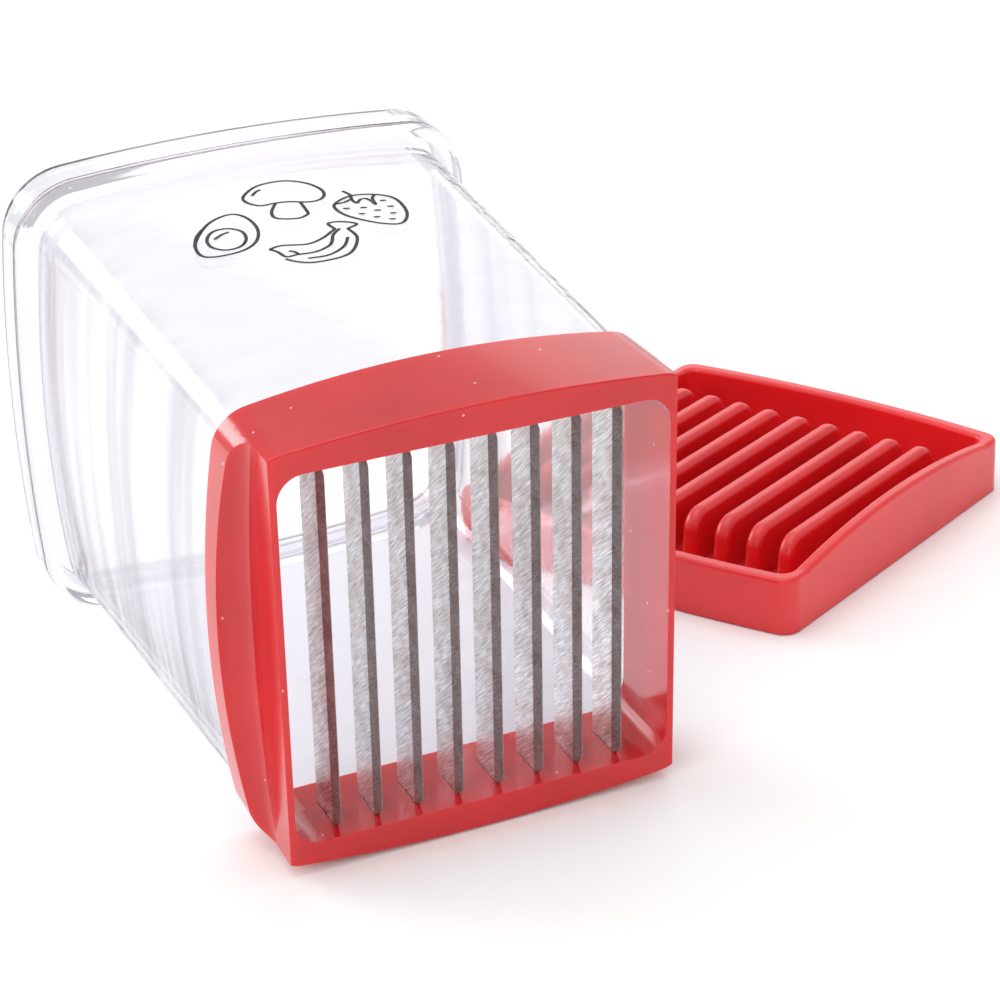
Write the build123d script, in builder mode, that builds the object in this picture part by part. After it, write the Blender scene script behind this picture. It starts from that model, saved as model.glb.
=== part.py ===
from build123d import *
import os
from math import asin, atan2, cos, hypot, sin

os.makedirs("parts", exist_ok=True)

# driving sizes, mm; depth is measured from the mouth into the cup
opening = 66.0
opening_radius = 4.5
rim_half = 34.15
collar_front_half = 38.45
collar_back_half = 39.6
collar_front_bow = 2.1
collar_back_bow = 3.5
collar_front_radius = 5.0
collar_back_radius = 7.1
collar_depth = 17.9
rim_round = 0.3
seam_depth = 9.5
seam_step = 0.25
lip_depth = 16.7
groove_depth = 14.3
recess_top_depth = 13.8
recess_arch_radius = 227.0
recess_blend = 4.5

cup_front_half = 37.95
cup_taper = 0.0345
cup_wall = 2.0
cup_start = 14.4
body_end = 105.0
flange_start = 104.4
flange_inside = 106.6
cup_end = 114.3
flange_half = 44.9
flange_bow = 2.5
flange_radius = 12.8
flange_wall = 2.6
lip_round = 1.4
fit_gap = 0.08

blade_count = 8
pitch = 7.14
blade_thick = 0.6
blade_front = 1.5
blade_back = 11.2
bevel_depth = 2.5
edge_thick = 0.1
blade_half_length = 34.8
blade_corner = 1.9

base_half_x = 38.16
base_half_y = 42.2
base_bow = 2.5
base_radius = 3.6
base_inside_radius = 2.4
side_wall = 2.7
end_wall = 2.9
base_wall_height = 11.2
crown_height = 14.3
crown_radius = 187.0
floor_thick = 2.4
rib_count = 9
rib_width = 3.3
rib_top = 12.5
rib_flat_half = 22.8
rib_round = 4.5
rib_foot_half = 28.2
rib_edge = 1.4
wall_edge = 0.9
crown_reach = (2 * crown_radius * (crown_height - base_wall_height)) ** 0.5

# resting poses in the shared frame
base_yaw = -61.6
cup_at = (-50.23, -69.09)
base_at = (42.97, 20.01)
lip_drop = flange_half - lip_round - collar_back_half
lip_reach = flange_start + lip_round - collar_depth
tilt = atan2(lip_drop, lip_reach) + asin(lip_round / hypot(lip_drop, lip_reach))
mouth_height = collar_back_half * cos(tilt) - collar_depth * sin(tilt)

mouth = Plane(
    origin=(cup_at[0], cup_at[1], mouth_height),
    x_dir=(1, 0, 0),
    z_dir=(0, -cos(tilt), -sin(tilt)),
)
side_view = Plane(origin=mouth.origin, x_dir=(0, cos(tilt), sin(tilt)), z_dir=(1, 0, 0))
top_view = Plane(origin=mouth.origin, x_dir=(1, 0, 0), z_dir=(0, -sin(tilt), cos(tilt)))
base_place = Location((base_at[0], base_at[1], 0), (0, 0, base_yaw))
base = Plane.XY
rib_view = Plane.YZ


def outline(plane, half_x, half_y, bow_x, bow_y, radius):
    corner_x = half_x - bow_x
    corner_y = half_y - bow_y
    with BuildSketch(plane) as shape:
        with BuildLine():
            if bow_x > 0:
                ThreePointArc((corner_x, -corner_y), (half_x, 0), (corner_x, corner_y))
                ThreePointArc((-corner_x, corner_y), (-half_x, 0), (-corner_x, -corner_y))
            else:
                Line((corner_x, -corner_y), (corner_x, corner_y))
                Line((-corner_x, corner_y), (-corner_x, -corner_y))
            ThreePointArc((corner_x, corner_y), (0, half_y), (-corner_x, corner_y))
            ThreePointArc((-corner_x, -corner_y), (0, -half_y), (corner_x, -corner_y))
        make_face()
        fillet(shape.vertices(), radius)
    return shape.sketch


def collar_outline(depth):
    part = depth / collar_depth
    half = collar_front_half + (collar_back_half - collar_front_half) * part
    bow = collar_front_bow + (collar_back_bow - collar_front_bow) * part
    radius = collar_front_radius + (collar_back_radius - collar_front_radius) * part
    return outline(mouth.offset(-depth), half, half, bow, bow, radius)


def cup_outline(depth, inset):
    part = (depth - cup_start) / (cup_end - cup_start)
    half = cup_front_half + cup_taper * (depth - cup_start) - inset
    bow = 3.4 - 0.7 * part
    radius = 6.2 + 2.6 * part - inset
    return outline(mouth.offset(-depth), half, half, bow, bow, radius)


def flange_outline(depth, inset):
    half = flange_half - inset
    return outline(mouth.offset(-depth), half, half, flange_bow, flange_bow, flange_radius - inset)


# clear cup: tapered body, flared hand flange, open right through
with BuildPart() as clear_cup:
    extrude(flange_outline(flange_start, 0), amount=-(cup_end - flange_start))
    fillet(clear_cup.faces().filter_by(Axis(mouth.origin, mouth.z_dir)).edges(), lip_round)
    loft(sections=[cup_outline(cup_start, 0), cup_outline(body_end, 0)])
    loft(sections=[cup_outline(cup_start, cup_wall), cup_outline(cup_end, cup_wall)], mode=Mode.SUBTRACT)
    extrude(flange_outline(flange_inside, flange_wall), amount=-(cup_end - flange_inside), mode=Mode.SUBTRACT)

# ring shaped groove in the collar that takes the end of the clear cup
with BuildPart() as groove:
    loft(sections=[cup_outline(groove_depth, -fit_gap), cup_outline(25, -fit_gap)])
    loft(
        sections=[cup_outline(groove_depth - 1, cup_wall + fit_gap), cup_outline(lip_depth, cup_wall + fit_gap)],
        mode=Mode.SUBTRACT,
    )

# tool for the arched side recesses: a profile swung about a far axis
recess_axis = Axis(side_view.from_local_coords((recess_top_depth - recess_arch_radius, 0, 0)), (1, 0, 0))

# collar: outer body, blade opening, groove for the cup, side recesses, blade pockets
with BuildPart() as collar:
    loft(sections=[collar_outline(0), collar_outline(collar_depth)])
    fillet(collar.edges().group_by(Axis(mouth.origin, mouth.z_dir))[-1], rim_round)
    with BuildSketch(mouth):
        RectangleRounded(opening, opening, opening_radius)
    extrude(amount=-collar_depth, mode=Mode.SUBTRACT)
    with BuildSketch(mouth.offset(-seam_depth)):
        RectangleRounded(opening + 2 * seam_step, opening + 2 * seam_step, opening_radius + 1)
    extrude(amount=-collar_depth, mode=Mode.SUBTRACT)
    add(groove.part, mode=Mode.SUBTRACT)
    for side in (-1, 1):
        with BuildSketch(top_view):
            with BuildLine():
                Polyline(
                    (side * (rim_half + recess_blend), recess_top_depth),
                    (side * 46, recess_top_depth),
                    (side * 46, -8),
                    (side * rim_half, -8),
                    (side * rim_half, recess_top_depth - recess_blend),
                )
                RadiusArc(
                    (side * rim_half, recess_top_depth - recess_blend),
                    (side * (rim_half + recess_blend), recess_top_depth),
                    side * recess_blend,
                )
            make_face()
        revolve(axis=recess_axis, revolution_arc=360, mode=Mode.SUBTRACT)
    for side in (-1, 1):
        for number in range(blade_count):
            across = (number - (blade_count - 1) / 2) * pitch
            with BuildSketch(top_view.offset(side * (blade_half_length + 0.2))):
                with Locations((across, (blade_corner + blade_front + blade_back) / 2)):
                    Rectangle(blade_thick + 2 * fit_gap, blade_back - blade_corner - blade_front + 2 * fit_gap)
            extrude(amount=-side * 6, mode=Mode.SUBTRACT)
collar.part.label = "collar"
export_step(collar.part, "parts/collar.step")

# eight bevelled steel strips, corners clipped where they enter the collar
for number in range(blade_count):
    across = (number - (blade_count - 1) / 2) * pitch
    half = blade_thick / 2
    with BuildPart() as blade:
        with BuildSketch(top_view.offset(-blade_half_length)):
            with BuildLine():
                Polyline(
                    (across - half, blade_back),
                    (across + half, blade_back),
                    (across + half, blade_front),
                    (across + half - edge_thick, blade_front),
                    (across - half, blade_front + bevel_depth),
                    close=True,
                )
            make_face()
        extrude(amount=2 * blade_half_length)
        for side in (-1, 1):
            with BuildSketch(side_view.offset(across - 1)):
                with BuildLine():
                    Polyline(
                        (blade_front - 1, side * (opening / 2 - blade_corner - 1)),
                        (blade_front + blade_corner, side * opening / 2),
                        (blade_front + blade_corner, side * (blade_half_length + 1)),
                        (blade_front - 1, side * (blade_half_length + 1)),
                        close=True,
                    )
                make_face()
            extrude(amount=2, mode=Mode.SUBTRACT)
    blade.part.label = f"blade_{number + 1}"
    export_step(blade.part, f"parts/blade_{number + 1}.step")

clear_cup.part.label = "clear_cup"
export_step(clear_cup.part, "parts/clear_cup.step")

# one rib, standing at the middle of the base, its top and ends rounded over
with BuildPart() as rib:
    with BuildSketch(rib_view.offset(-rib_width / 2)):
        with BuildLine():
            Polyline(
                (-rib_flat_half - rib_round, rib_top - rib_round),
                (-rib_foot_half, floor_thick - 0.5),
                (rib_foot_half, floor_thick - 0.5),
                (rib_flat_half + rib_round, rib_top - rib_round),
            )
            RadiusArc((rib_flat_half + rib_round, rib_top - rib_round), (rib_flat_half, rib_top), -rib_round)
            Line((rib_flat_half, rib_top), (-rib_flat_half, rib_top))
            RadiusArc((-rib_flat_half, rib_top), (-rib_flat_half - rib_round, rib_top - rib_round), -rib_round)
        make_face()
    extrude(amount=rib_width)
    sides = rib.faces().filter_by(Axis.X)
    fillet(sides.edges().filter_by_position(Axis.Z, floor_thick - 0.4, rib_top + 1), rib_edge)

middle = (rib_count - 1) / 2
rib_places = [((number - middle) * pitch, 0, 0) for number in range(rib_count)]

# loose base: shallow tray with crowned side walls and nine rounded ribs
with BuildPart() as base_tray:
    extrude(outline(base, base_half_x, base_half_y, 0, base_bow, base_radius), amount=crown_height)
    extrude(
        outline(
            base.offset(floor_thick),
            base_half_x - side_wall,
            base_half_y - end_wall,
            0,
            base_bow,
            base_inside_radius,
        ),
        amount=crown_height,
        mode=Mode.SUBTRACT,
    )
    with BuildSketch(rib_view.offset(-50)):
        with BuildLine():
            Polyline(
                (-crown_reach, base_wall_height),
                (-60, base_wall_height),
                (-60, 30),
                (60, 30),
                (60, base_wall_height),
                (crown_reach, base_wall_height),
            )
            ThreePointArc((-crown_reach, base_wall_height), (0, crown_height), (crown_reach, base_wall_height))
        make_face()
    extrude(amount=100, mode=Mode.SUBTRACT)
    wall_tops = base_tray.faces().filter_by_position(Axis.Z, base_wall_height - 0.1, crown_height + 1)
    fillet(wall_tops.edges().filter_by_position(Axis.Z, base_wall_height - 0.1, crown_height + 1), wall_edge)
    with Locations(*rib_places):
        add(rib.part)
placed_base = base_tray.part.moved(base_place)
placed_base.label = "base_tray"
export_step(placed_base, "parts/base_tray.step")
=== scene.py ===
import math

import bpy
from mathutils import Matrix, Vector


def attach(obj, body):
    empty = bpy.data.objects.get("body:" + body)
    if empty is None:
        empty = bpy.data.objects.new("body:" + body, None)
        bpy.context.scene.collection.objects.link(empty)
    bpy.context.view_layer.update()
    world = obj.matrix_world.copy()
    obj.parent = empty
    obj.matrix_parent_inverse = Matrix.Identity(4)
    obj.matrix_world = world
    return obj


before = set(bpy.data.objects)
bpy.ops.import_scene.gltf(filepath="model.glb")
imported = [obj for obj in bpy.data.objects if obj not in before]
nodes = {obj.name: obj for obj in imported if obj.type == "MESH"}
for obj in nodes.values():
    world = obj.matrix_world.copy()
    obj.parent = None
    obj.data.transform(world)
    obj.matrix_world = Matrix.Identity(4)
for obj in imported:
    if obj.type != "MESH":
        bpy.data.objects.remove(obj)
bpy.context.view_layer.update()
mm = 0.001
print("frame loaded:", len(nodes), "nodes")

cupLie = {"mouthAt": (-50.23, -69.09, 38.45), "tilt": 3.452}  # middle of the mouth in mm, rise in degrees
tilt = math.radians(cupLie["tilt"])
cupAxis = Vector((0, math.cos(tilt), math.sin(tilt)))  # from the mouth into the cup
cupUp = Vector((0, -math.sin(tilt), math.cos(tilt)))
mouthAt = Vector(cupLie["mouthAt"]) * mm


def inCup(across, depth, height):  # millimetres on the cup to metres in the frame
    return mouthAt + (Vector((1, 0, 0)) * across + cupAxis * depth + cupUp * height) * mm


def linear(hexCode):
    values = [int(hexCode[i:i + 2], 16) / 255 for i in (0, 2, 4)]
    return [v / 12.92 if v <= 0.04045 else ((v + 0.055) / 1.055) ** 2.4 for v in values] + [1.0]


def addNode(tree, kind, links=(), **settings):  # links are (output, name or number of the new node's input)
    node = tree.nodes.new(kind)
    for key, value in settings.items():
        if key == "inputs":
            for socket, content in value.items():
                node.inputs[socket].default_value = content
        elif key == "stops":  # places and colours along a ramp
            for stop, (place, colour) in zip(node.color_ramp.elements, value):
                stop.position, stop.color = place, colour
        else:
            setattr(node, key, value)
    for source, socket in links:
        tree.links.new(source, node.inputs[socket])
    return node


def newMaterial(name):
    material = bpy.data.materials.new(name)
    material.use_nodes = True
    tree = material.node_tree
    return material, tree, tree.nodes["Principled BSDF"]


def finishNode(name, material):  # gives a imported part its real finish
    slots = nodes[name].data.materials
    slots.clear()
    slots.append(material)


# ABS, injection moulded: an even strong red with light spread a little way inside it, so thin edges glow.
# Its IOR is about 1.53, and its roughness about 0.15 from a polished tool and 0.4 from a spark-eroded one.
absPlastic = {
    "ior": 1.53, "scatter": (1.0, 0.12, 0.1),  # red light goes furthest inside
    "toneFrom": (0.3, 0.7), "lintFade": 1.6, "bumpMm": 0.05,
}
collarLook = absPlastic | {  # polished tool: clear reflections of the lamps, softened by faint waves
    "colour": "cd141b", "deep": "c01118", "flowMm": 18,  # two reds that drift into each other
    "lint": "f3b9bb", "lintMm": 3.4, "lintSize": 0.05, "lintShare": 0.4,  # pale dust specks
    "grainMm": 1.6, "rough": (0.14, 0.22), "bump": 0.04,
    "glow": 0.45, "glowMm": 5.0,
    "skin": 0.28, "skinRough": 0.05,  # the glassy skin of a moulding
}
baseLook = absPlastic | {  # spark-eroded tool: satin, with broad soft highlights on the ribs
    "colour": "e31c23", "deep": "d8181f", "flowMm": 14,
    "lint": "f0a6a8", "lintMm": 6.0, "lintSize": 0.02, "lintShare": 0.2,
    "grainMm": 0.7, "rough": (0.34, 0.46), "bump": 0.1,  # real grain is 0.05 mm, drawn coarser to show
    "glow": 0.5, "glowMm": 4.0,
    "skin": 0.45, "skinRough": 0.3,
}


def mouldedRed(name, look):
    material, tree, shader = newMaterial(name)
    place = addNode(tree, "ShaderNodeTexCoord").outputs["Object"]
    flow = addNode(tree, "ShaderNodeTexNoise", [(place, "Vector")],
                   inputs={"Scale": 1 / (look["flowMm"] * mm), "Detail": 2.0})
    tone = addNode(tree, "ShaderNodeValToRGB", [(flow.outputs["Fac"], "Fac")],
                   stops=zip(look["toneFrom"], (linear(look["deep"]), linear(look["colour"]))))
    dust = addNode(tree, "ShaderNodeTexVoronoi", [(place, "Vector")],
                   inputs={"Scale": 1 / (look["lintMm"] * mm)})
    speck = addNode(tree, "ShaderNodeValToRGB", [(dust.outputs["Distance"], "Fac")],
                    stops=[(look["lintSize"], linear("ffffff")),
                           (look["lintSize"] * look["lintFade"], linear("000000"))])
    pick = addNode(tree, "ShaderNodeMath", [(dust.outputs["Color"], 0)], operation="GREATER_THAN",
                   inputs={1: 1 - look["lintShare"]})
    here = addNode(tree, "ShaderNodeMath", [(speck.outputs["Color"], 0), (pick.outputs[0], 1)],
                   operation="MULTIPLY")
    colour = addNode(tree, "ShaderNodeMix", [(here.outputs[0], 0), (tone.outputs["Color"], 6)],
                     data_type="RGBA", inputs={7: linear(look["lint"])})  # 6 and 7 are a mix's two colours
    tree.links.new(colour.outputs[2], shader.inputs["Base Color"])
    grain = addNode(tree, "ShaderNodeTexNoise", [(place, "Vector")],
                    inputs={"Scale": 1 / (look["grainMm"] * mm), "Detail": 3.0})
    sheen = addNode(tree, "ShaderNodeMapRange", [(grain.outputs["Fac"], "Value")],
                    inputs={"To Min": look["rough"][0], "To Max": look["rough"][1]})
    tree.links.new(sheen.outputs[0], shader.inputs["Roughness"])
    bump = addNode(tree, "ShaderNodeBump", [(grain.outputs["Fac"], "Height")],
                   inputs={"Strength": look["bump"], "Distance": look["bumpMm"] * mm})
    tree.links.new(bump.outputs["Normal"], shader.inputs["Normal"])
    shader.inputs["IOR"].default_value = look["ior"]
    shader.inputs["Coat Weight"].default_value = look["skin"]
    shader.inputs["Coat Roughness"].default_value = look["skinRough"]
    shader.inputs["Subsurface Weight"].default_value = look["glow"]
    shader.inputs["Subsurface Radius"].default_value = look["scatter"]
    shader.inputs["Subsurface Scale"].default_value = look["glowMm"] * mm
    return material


finishNode("collar", mouldedRed("abs_red_polished_moulding", collarLook))
finishNode("base_tray", mouldedRed("abs_red_satin_moulding", baseLook))
print("red mouldings done")

# SAN, injection moulded: nearly colourless and glossy, with faint surface waves and soft grey streaks tinted
# up the two side walls where the wave noise is high.
# SAN's IOR is about 1.57; 1.45 keeps the thin walls as faint as they look.
cupLook = {
    "tint": "efeef3", "ior": 1.45, "rough": (0.03, 0.11),
    "streak": "d3d1d9", "streakFrom": (0.42, 0.66),
    "lineMm": 5.0, "lineShare": (0.5, 1, 0.04),  # streak spacing, and its stretch across, inwards and up
    "bump": 0.16, "bumpMm": 0.2,
    "shade": "f8f8fa",  # how much light the walls take from what stands behind them
}


def clearMoulding(name, look):
    material, tree, shader = newMaterial(name)
    spot = addNode(tree, "ShaderNodeTexCoord").outputs
    turned = addNode(tree, "ShaderNodeMapping", [(spot["Object"], "Vector")],
                     inputs={"Rotation": (-tilt, 0, 0)})
    stretched = addNode(tree, "ShaderNodeMapping", [(turned.outputs[0], "Vector")],
                        inputs={"Scale": look["lineShare"]})
    lines = addNode(tree, "ShaderNodeTexNoise", [(stretched.outputs[0], "Vector")],
                    inputs={"Scale": 1 / (look["lineMm"] * mm), "Detail": 2.0})
    bump = addNode(tree, "ShaderNodeBump", [(lines.outputs["Fac"], "Height")],
                   inputs={"Strength": look["bump"], "Distance": look["bumpMm"] * mm})
    tree.links.new(bump.outputs["Normal"], shader.inputs["Normal"])
    haze = addNode(tree, "ShaderNodeMapRange", [(lines.outputs["Fac"], "Value")],
                   inputs={"To Min": look["rough"][0], "To Max": look["rough"][1]})
    tree.links.new(haze.outputs[0], shader.inputs["Roughness"])
    sideways = addNode(tree, "ShaderNodeVectorMath", [(spot["Normal"], 0)], operation="ABSOLUTE")
    split = addNode(tree, "ShaderNodeSeparateXYZ", [(sideways.outputs[0], 0)])  # X is 1 on a side wall
    # greyer tint on the side walls only, following the stretched noise
    streak = addNode(tree, "ShaderNodeMapRange", [(lines.outputs["Fac"], "Value")],
                     inputs={"From Min": look["streakFrom"][0], "From Max": look["streakFrom"][1]})
    share = addNode(tree, "ShaderNodeMath", [(streak.outputs[0], 0), (split.outputs["X"], 1)],
                    operation="MULTIPLY")
    tint = addNode(tree, "ShaderNodeMix", [(share.outputs[0], 0)], data_type="RGBA",
                   inputs={6: linear(look["tint"]), 7: linear(look["streak"])})
    tree.links.new(tint.outputs[2], shader.inputs["Base Color"])
    shader.inputs["Transmission Weight"].default_value = 1.0
    shader.inputs["IOR"].default_value = look["ior"]
    rays = addNode(tree, "ShaderNodeLightPath").outputs  # lets lamps light what stands behind the walls
    soft = addNode(tree, "ShaderNodeMath", [(rays["Is Shadow Ray"], 0), (rays["Is Diffuse Ray"], 1)],
                   operation="MAXIMUM")
    through = addNode(tree, "ShaderNodeBsdfTransparent", inputs={"Color": linear(look["shade"])})
    both = addNode(tree, "ShaderNodeMixShader",
                   [(soft.outputs[0], 0), (shader.outputs[0], 1), (through.outputs[0], 2)])
    tree.links.new(both.outputs[0], tree.nodes["Material Output"].inputs["Surface"])
    return material


finishNode("clear_cup", clearMoulding("san_clear_moulding", cupLook))
print("clear moulding done")

# Stainless strip, surface ground: bright grey with short slanting scratches and a few warm stains.
# Ground steel has a roughness of 0.3 to 0.5; the bevel along each cutting edge is duller, and its colour is
# made a little darker as painted shade.
steelLook = {
    "slant": 38, "scratchMm": 0.15, "scratchShare": 0.035,  # degrees, scratch spacing, spacing against length
    "dark": "aba7a8", "light": "ffffff", "faceFrom": (0.34, 0.62),
    "warm": "e6dcd6", "clean": "ffffff", "stainMm": 4.0, "stainFrom": (0.35, 0.6), "stainShare": 0.8,
    "rough": (0.3, 0.5), "bump": 0.25, "bumpMm": 0.03,
    # bevel: the colour multiplied into the bevel faces as painted shade
    "bevel": "c4babb", "bevelRough": 0.2, "bevelDepthMm": 3.95,  # the bevel ends this far inside the mouth
}


def groundSteel(name, look):
    material, tree, shader = newMaterial(name)
    place = addNode(tree, "ShaderNodeTexCoord").outputs["Object"]
    centred = addNode(tree, "ShaderNodeVectorMath", [(place, 0)], operation="SUBTRACT",
                      inputs={1: mouthAt})
    depth = addNode(tree, "ShaderNodeVectorMath", [(centred.outputs[0], 0)], operation="DOT_PRODUCT",
                    inputs={1: cupAxis})
    slanted = addNode(tree, "ShaderNodeMapping", [(centred.outputs[0], "Vector")],
                      inputs={"Rotation": (math.radians(look["slant"]), 0, 0)})
    drawn = addNode(tree, "ShaderNodeMapping", [(slanted.outputs[0], "Vector")],
                    inputs={"Scale": (1, look["scratchShare"], 1)})
    scratch = addNode(tree, "ShaderNodeTexNoise", [(drawn.outputs[0], "Vector")],
                      inputs={"Scale": 1 / (look["scratchMm"] * mm), "Detail": 4.0, "Roughness": 0.65})
    stain = addNode(tree, "ShaderNodeTexNoise", [(centred.outputs[0], "Vector")],
                    inputs={"Scale": 1 / (look["stainMm"] * mm), "Detail": 3.0})
    face = addNode(tree, "ShaderNodeValToRGB", [(scratch.outputs["Fac"], "Fac")],
                   stops=zip(look["faceFrom"], (linear(look["dark"]), linear(look["light"]))))
    warm = addNode(tree, "ShaderNodeValToRGB", [(stain.outputs["Fac"], "Fac")],
                   stops=zip(look["stainFrom"], (linear(look["warm"]), linear(look["clean"]))))
    mixed = addNode(tree, "ShaderNodeMix", [(face.outputs["Color"], 6), (warm.outputs["Color"], 7)],
                    data_type="RGBA", blend_type="MULTIPLY", inputs={0: look["stainShare"]})
    onBevel = addNode(tree, "ShaderNodeMath", [(depth.outputs["Value"], 0)], operation="LESS_THAN",
                      inputs={1: look["bevelDepthMm"] * mm})
    # painted shade: the bevel faces get a darker copy of the steel colour
    paintedBevelShade = addNode(tree, "ShaderNodeMix", [(mixed.outputs[2], 6)], data_type="RGBA",
                    blend_type="MULTIPLY", inputs={0: 1.0, 7: linear(look["bevel"])})
    colour = addNode(tree, "ShaderNodeMix",
                     [(onBevel.outputs[0], 0), (mixed.outputs[2], 6), (paintedBevelShade.outputs[2], 7)],
                     data_type="RGBA")
    tree.links.new(colour.outputs[2], shader.inputs["Base Color"])
    rough = addNode(tree, "ShaderNodeMapRange", [(scratch.outputs["Fac"], "Value")],
                    inputs={"To Min": look["rough"][0], "To Max": look["rough"][1]})
    coarse = addNode(tree, "ShaderNodeMath", [(onBevel.outputs[0], 0), (rough.outputs[0], 2)],
                     operation="MULTIPLY_ADD", inputs={1: look["bevelRough"]})
    tree.links.new(coarse.outputs[0], shader.inputs["Roughness"])
    bump = addNode(tree, "ShaderNodeBump", [(scratch.outputs["Fac"], "Height")],
                   inputs={"Strength": look["bump"], "Distance": look["bumpMm"] * mm})
    tree.links.new(bump.outputs["Normal"], shader.inputs["Normal"])
    shader.inputs["Metallic"].default_value = 1.0
    return material


bladeSteel = groundSteel("stainless_strip_ground", steelLook)
blades = [name for name in nodes if name.startswith("blade_")]
for name in blades:
    finishNode(name, bladeSteel)
print("blades done:", len(blades))

# line drawings on the cup's top face: points (right, up) in millimetres about each drawing's middle,
# which stands at (across, depth) on the cup; the tree below smooths them
drawings = {
    "egg": {
        "at": (-13, 77),
        "loops": [
            [(0.3, 8.4), (3.2, 7.0), (5.2, 2.6), (5.3, -2.0), (3.6, -5.6), (0, -7.9), (-3.6, -8.2),
             (-5.2, -5.0), (-5.0, -0.5), (-3.1, 5.2)],
            [(3.4, -1.7), (2.5, 1.4), (0, 2.6), (-2.5, 1.4), (-3.4, -1.7), (-2.5, -4.6), (0, -5.9),
             (2.5, -4.6)],
        ],
        "lines": [[(-2.1, -1.6), (-0.9, 0.2), (0.3, 1.2)], [(-5.4, -4.4), (-5.3, -0.8), (-4.4, 2.4)]],
    },
    "mushroom": {
        "at": (1, 86.7),
        "loops": [
            [(-7.2, 0.5), (-5.4, 4.8), (-2.5, 7.2), (0.8, 8.2), (4.2, 7.3), (6.6, 4.9), (7.2, 2.2), (6.2, 0.0),
             (4.2, -1.0), (1.0, -1.1), (-1.6, -1.9), (-4.0, -3.0), (-6.3, -1.9)],
        ],
        "lines": [
            [(-1.4, -2.0), (-2.0, -5.4), (-1.7, -7.6), (-0.4, -8.5), (2.6, -8.2), (4.2, -6.6), (4.3, -5.4),
             (3.0, -1.3)],
            [(-5.6, 1.2), (-5.0, 2.9), (-4.2, 3.9)],
        ],
    },
    "bananas": {
        "at": (-0.5, 67.8),
        "lines": [
            [(3.6, 5.4), (2.4, 7.6), (4.8, 8.6), (7.4, 7.9), (5.8, 5.8)],
            [(5.8, 5.8), (7.4, 2.2), (6.7, -3.2), (4.6, -6.2), (0, -8.5), (-2.9, -8.2), (-4.8, -7.2)],
            [(3.6, 5.4), (1.4, 1.3), (-1.2, -1.2), (-5.6, -1.9), (-7.6, -3.4)],
            [(-7.6, -3.4), (-6.2, -4.4), (-4.7, -6.3), (-2.9, -5.5), (0.4, -4.2), (2.8, -1.2), (3.3, 2.8),
             (4.4, 5.6)],
            [(-4.3, -4.0), (-3.4, -4.3), (-2.7, -5.1)],
            [(-1.0, -6.9), (2.6, -5.4), (5.1, -1.8), (5.8, 2.1)],
        ],
    },
    "strawberry": {
        "at": (13.9, 77.6),
        "loops": [
            [(-6.4, 0.7), (-3.6, 4.8), (0.8, 6.2), (4.4, 4.9), (6.3, -0.9), (5.3, -5.9), (1.7, -6.6),
             (-3.1, -4.8), (-5.6, -2.5)],
        ],
        "lines": [
            [(-5.0, 6.9), (-3.8, 5.6), (-3.4, 4.6)],
            [(-3.6, 4.8), (-3.2, 2.8), (-2.4, 1.8), (-1.9, 3.4), (-0.9, 4.2)],
            [(-0.9, 4.2), (0.2, 3.0), (0.9, 1.6), (0.3, 4.4), (0.8, 6.2)],
            [(-6.4, 0.7), (-4.8, 1.7), (-3.6, 3.2)],
        ],
        "seeds": [(-4.3, -0.9), (-1.3, -0.1), (1.2, -0.9), (2.2, 3.7), (3.5, 1.3), (3.9, -1.7), (-1.6, -2.9),
                  (1.0, -3.9), (3.7, -4.4)],
    },
}
# Epoxy ink, pad printed: flat near-black with a dry sheen, a little thin in places.
# The film is really 0.01 mm; it is drawn thicker so that it shows and stays clear of the wall.
inkLook = {
    "right": (0.89, -0.45), "up": (0.36, 0.93),  # the drawings' own directions, as (across, depth)
    "lineMm": 0.62, "filmMm": 0.06, "liftMm": 0.05, "stepMm": 0.3,
    "seedMm": 0.5, "seedShape": (1.4, 0.9, 0.1),
    "colour": "17171a", "worn": "4a4a4e", "wornFrom": (0.5, 0.75), "grainMm": 0.9, "rough": (0.45, 0.7),
}
cupWall = {  # the outer faces in millimetres: half width, draft and bow, between two depths from the mouth
    "from": 14.4, "long": 99.9, "half": 37.95, "draft": 0.0345, "bow": 3.4, "bowLoss": 0.7,
}


def wallHeight(across, depth):  # the cup's top face above its axis, in millimetres
    inward = depth - cupWall["from"]
    half = cupWall["half"] + cupWall["draft"] * inward
    bow = cupWall["bow"] - cupWall["bowLoss"] * inward / cupWall["long"]
    return half - bow * (across / half) ** 2


def printedInk(look):
    material, tree, shader = newMaterial("pad_printed_ink")
    place = addNode(tree, "ShaderNodeTexCoord").outputs["Object"]
    wear = addNode(tree, "ShaderNodeTexNoise", [(place, "Vector")],
                   inputs={"Scale": 1 / (look["grainMm"] * mm), "Detail": 2.0})
    tone = addNode(tree, "ShaderNodeValToRGB", [(wear.outputs["Fac"], "Fac")],
                   stops=zip(look["wornFrom"], (linear(look["colour"]), linear(look["worn"]))))
    tree.links.new(tone.outputs["Color"], shader.inputs["Base Color"])
    sheen = addNode(tree, "ShaderNodeMapRange", [(wear.outputs["Fac"], "Value")],
                    inputs={"To Min": look["rough"][0], "To Max": look["rough"][1]})
    tree.links.new(sheen.outputs[0], shader.inputs["Roughness"])
    return material


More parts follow.
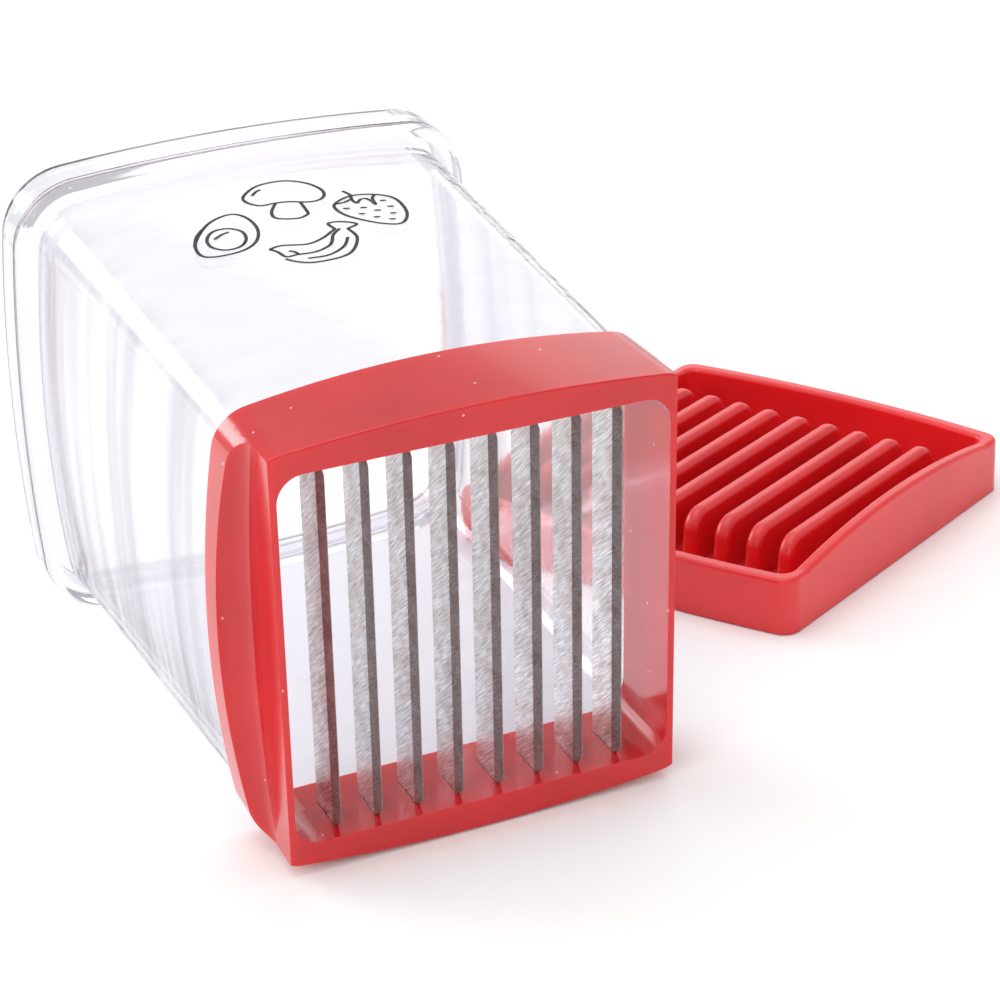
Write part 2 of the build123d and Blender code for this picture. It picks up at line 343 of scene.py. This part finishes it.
def inkTree(look, material):  # strokes become flat ribbons of ink, seed points become drops
    tree = bpy.data.node_groups.new("inkStrokes", "GeometryNodeTree")
    face = tree.interface
    face.new_socket("Strokes", in_out="INPUT", socket_type="NodeSocketGeometry")
    sizes = {"Line width": look["lineMm"], "Film height": look["filmMm"], "Step": look["stepMm"],
             "Seed radius": look["seedMm"]}
    for label in sizes:
        face.new_socket(label, in_out="INPUT", socket_type="NodeSocketFloat")
    face.new_socket("Ink", in_out="INPUT", socket_type="NodeSocketMaterial")
    face.new_socket("Print", in_out="OUTPUT", socket_type="NodeSocketGeometry")
    given = addNode(tree, "NodeGroupInput").outputs
    curve = addNode(tree, "GeometryNodeMeshToCurve", [(given["Strokes"], "Mesh")])
    smooth = addNode(tree, "GeometryNodeCurveSplineType", [(curve.outputs["Curve"], "Curve")],
                     spline_type="CATMULL_ROM")
    even = addNode(tree, "GeometryNodeResampleCurve",
                   [(smooth.outputs["Curve"], "Curve"), (given["Step"], "Length")], mode="LENGTH")
    level = addNode(tree, "GeometryNodeSetCurveNormal", [(even.outputs["Curve"], "Curve")], mode="Z_UP")
    profile = addNode(tree, "GeometryNodeCurvePrimitiveQuadrilateral",
                      [(given["Line width"], "Width"), (given["Film height"], "Height")])
    ribbon = addNode(tree, "GeometryNodeCurveToMesh",
                     [(level.outputs["Curve"], "Curve"), (profile.outputs["Curve"], "Profile Curve")],
                     inputs={"Fill Caps": True})
    isSeed = addNode(tree, "GeometryNodeInputNamedAttribute", data_type="BOOLEAN", inputs={"Name": "isSeed"})
    drop = addNode(tree, "GeometryNodeMeshIcoSphere", [(given["Seed radius"], "Radius")],
                   inputs={"Subdivisions": 2})
    flat = addNode(tree, "FunctionNodeInputVector", vector=look["seedShape"])
    lean = math.atan2(look["right"][1], look["right"][0])
    turn = addNode(tree, "FunctionNodeInputVector", vector=(0, 0, lean))
    drops = addNode(tree, "GeometryNodeInstanceOnPoints",
                    [(given["Strokes"], "Points"), (isSeed.outputs["Attribute"], "Selection"),
                     (drop.outputs["Mesh"], "Instance"), (flat.outputs[0], "Scale"),
                     (turn.outputs[0], "Rotation")])
    both = addNode(tree, "GeometryNodeJoinGeometry",
                   [(ribbon.outputs["Mesh"], "Geometry"), (drops.outputs["Instances"], "Geometry")])
    real = addNode(tree, "GeometryNodeRealizeInstances", [(both.outputs[0], "Geometry")])
    painted = addNode(tree, "GeometryNodeSetMaterial",
                      [(real.outputs[0], "Geometry"), (given["Ink"], "Material")])
    addNode(tree, "NodeGroupOutput", [(painted.outputs[0], "Print")])
    values = {label: size * mm for label, size in sizes.items()} | {"Ink": material}
    return tree, {item.identifier: values[item.name] for item in face.items_tree if item.name in values}


def drawnMesh(look):  # every stroke as a chain of edges on the cup's top face
    points, edges, seeds = [], [], []

    def put(drawing, spot):
        right, up = look["right"], look["up"]
        across = drawing["at"][0] + spot[0] * right[0] + spot[1] * up[0]
        depth = drawing["at"][1] + spot[0] * right[1] + spot[1] * up[1]
        points.append(inCup(across, depth, wallHeight(across, depth) + look["liftMm"]))
        return len(points) - 1

    for drawing in drawings.values():
        for closed, strokes in ((True, drawing.get("loops", [])), (False, drawing["lines"])):
            for stroke in strokes:
                chain = [put(drawing, spot) for spot in stroke]
                edges += list(zip(chain, chain[1:])) + ([(chain[-1], chain[0])] if closed else [])
        seeds += [put(drawing, spot) for spot in drawing.get("seeds", [])]
    mesh = bpy.data.meshes.new("printedStrokes")
    mesh.from_pydata(points, edges, [])
    flags = mesh.attributes.new("isSeed", "BOOLEAN", "POINT")
    flags.data.foreach_set("value", [index in seeds for index in range(len(points))])
    return mesh


def geometryPiece(name, mesh, treeAndValues, body):  # runs the tree once and keeps its result as a plain mesh
    tree, values = treeAndValues
    source = bpy.data.objects.new(name + "Source", mesh)
    bpy.context.scene.collection.objects.link(source)
    modifier = source.modifiers.new("nodes", "NODES")
    modifier.node_group = tree
    for identifier, value in values.items():
        modifier[identifier] = value
    graph = bpy.context.evaluated_depsgraph_get()
    made = bpy.data.meshes.new_from_object(source.evaluated_get(graph), depsgraph=graph)
    source.modifiers.clear()
    bpy.data.objects.remove(source)
    piece = bpy.data.objects.new(name, made)
    bpy.context.scene.collection.objects.link(piece)
    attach(piece, body)
    return piece


icons = geometryPiece("printed_food_icons", drawnMesh(inkLook), inkTree(inkLook, printedInk(inkLook)), "cup")
print("printed drawings done:", len(icons.data.polygons), "faces")

floorLook = {"size": 6.0, "sinkMm": 0.2, "colour": "ffffff", "rough": 0.9, "shine": 0.1}
bpy.ops.mesh.primitive_plane_add(size=floorLook["size"], location=(0, 0, -floorLook["sinkMm"] * mm))
floor = bpy.context.object
floor.name = "floor"
paper, _, shader = newMaterial("paper_sweep_matt")  # plain matt card: no highlight, only soft shadows
shader.inputs["Base Color"].default_value = linear(floorLook["colour"])
shader.inputs["Roughness"].default_value = floorLook["rough"]
shader.inputs["Specular IOR Level"].default_value = floorLook["shine"]
floor.data.materials.append(paper)

roomLight = {"colour": "ffffff", "strength": 0.66}
world = bpy.data.worlds.new("softbox_room")
bpy.context.scene.world = world
world.use_nodes = True
world.node_tree.nodes["Background"].inputs["Color"].default_value = linear(roomLight["colour"])
world.node_tree.nodes["Background"].inputs["Strength"].default_value = roomLight["strength"]

lightPlan = {  # place, aim, width and height in metres, power in watts
    "overhead": ((-0.1, 0.1, 1.2), (0, 0, 0), 1.2, 0.9, 5.0),
    "backPanel": ((0.75, 1.25, 0.6), (0, 0, 0.08), 1.1, 0.8, 2.2),
    "cornerPanel": ((-0.95, 1.1, 0.62), (-0.05, 0, 0.06), 0.9, 0.6, 7.5),  # highlight along the collar's top
    "keySoftbox": ((-1.0, -0.9, 0.6), (0, 0, 0.04), 0.9, 0.7, 6.3),
}
for name, (place, aim, width, height, power) in lightPlan.items():
    lamp = bpy.data.lights.new(name, "AREA")
    lamp.shape, lamp.size, lamp.size_y, lamp.energy = "RECTANGLE", width, height, power
    lampObject = bpy.data.objects.new(name, lamp)
    bpy.context.scene.collection.objects.link(lampObject)
    lampObject.location = place
    lampObject.rotation_euler = (Vector(aim) - Vector(place)).to_track_quat("-Z", "Y").to_euler()

view = {"place": (-0.2040, -0.4390, 0.2440), "turn": (65.276, 2.331, -24.165), "lens": 102.57,
        "sensor": 36, "nearest": 0.01}
camera = bpy.data.objects.new("camera", bpy.data.cameras.new("camera"))
bpy.context.scene.collection.objects.link(camera)
camera.location = view["place"]
camera.rotation_euler = [math.radians(angle) for angle in view["turn"]]
camera.data.lens = view["lens"]
camera.data.sensor_width = view["sensor"]
camera.data.clip_start = view["nearest"]
bpy.context.scene.camera = camera
bpy.context.scene.view_settings.view_transform = "Standard"
print("stage, light and camera done")
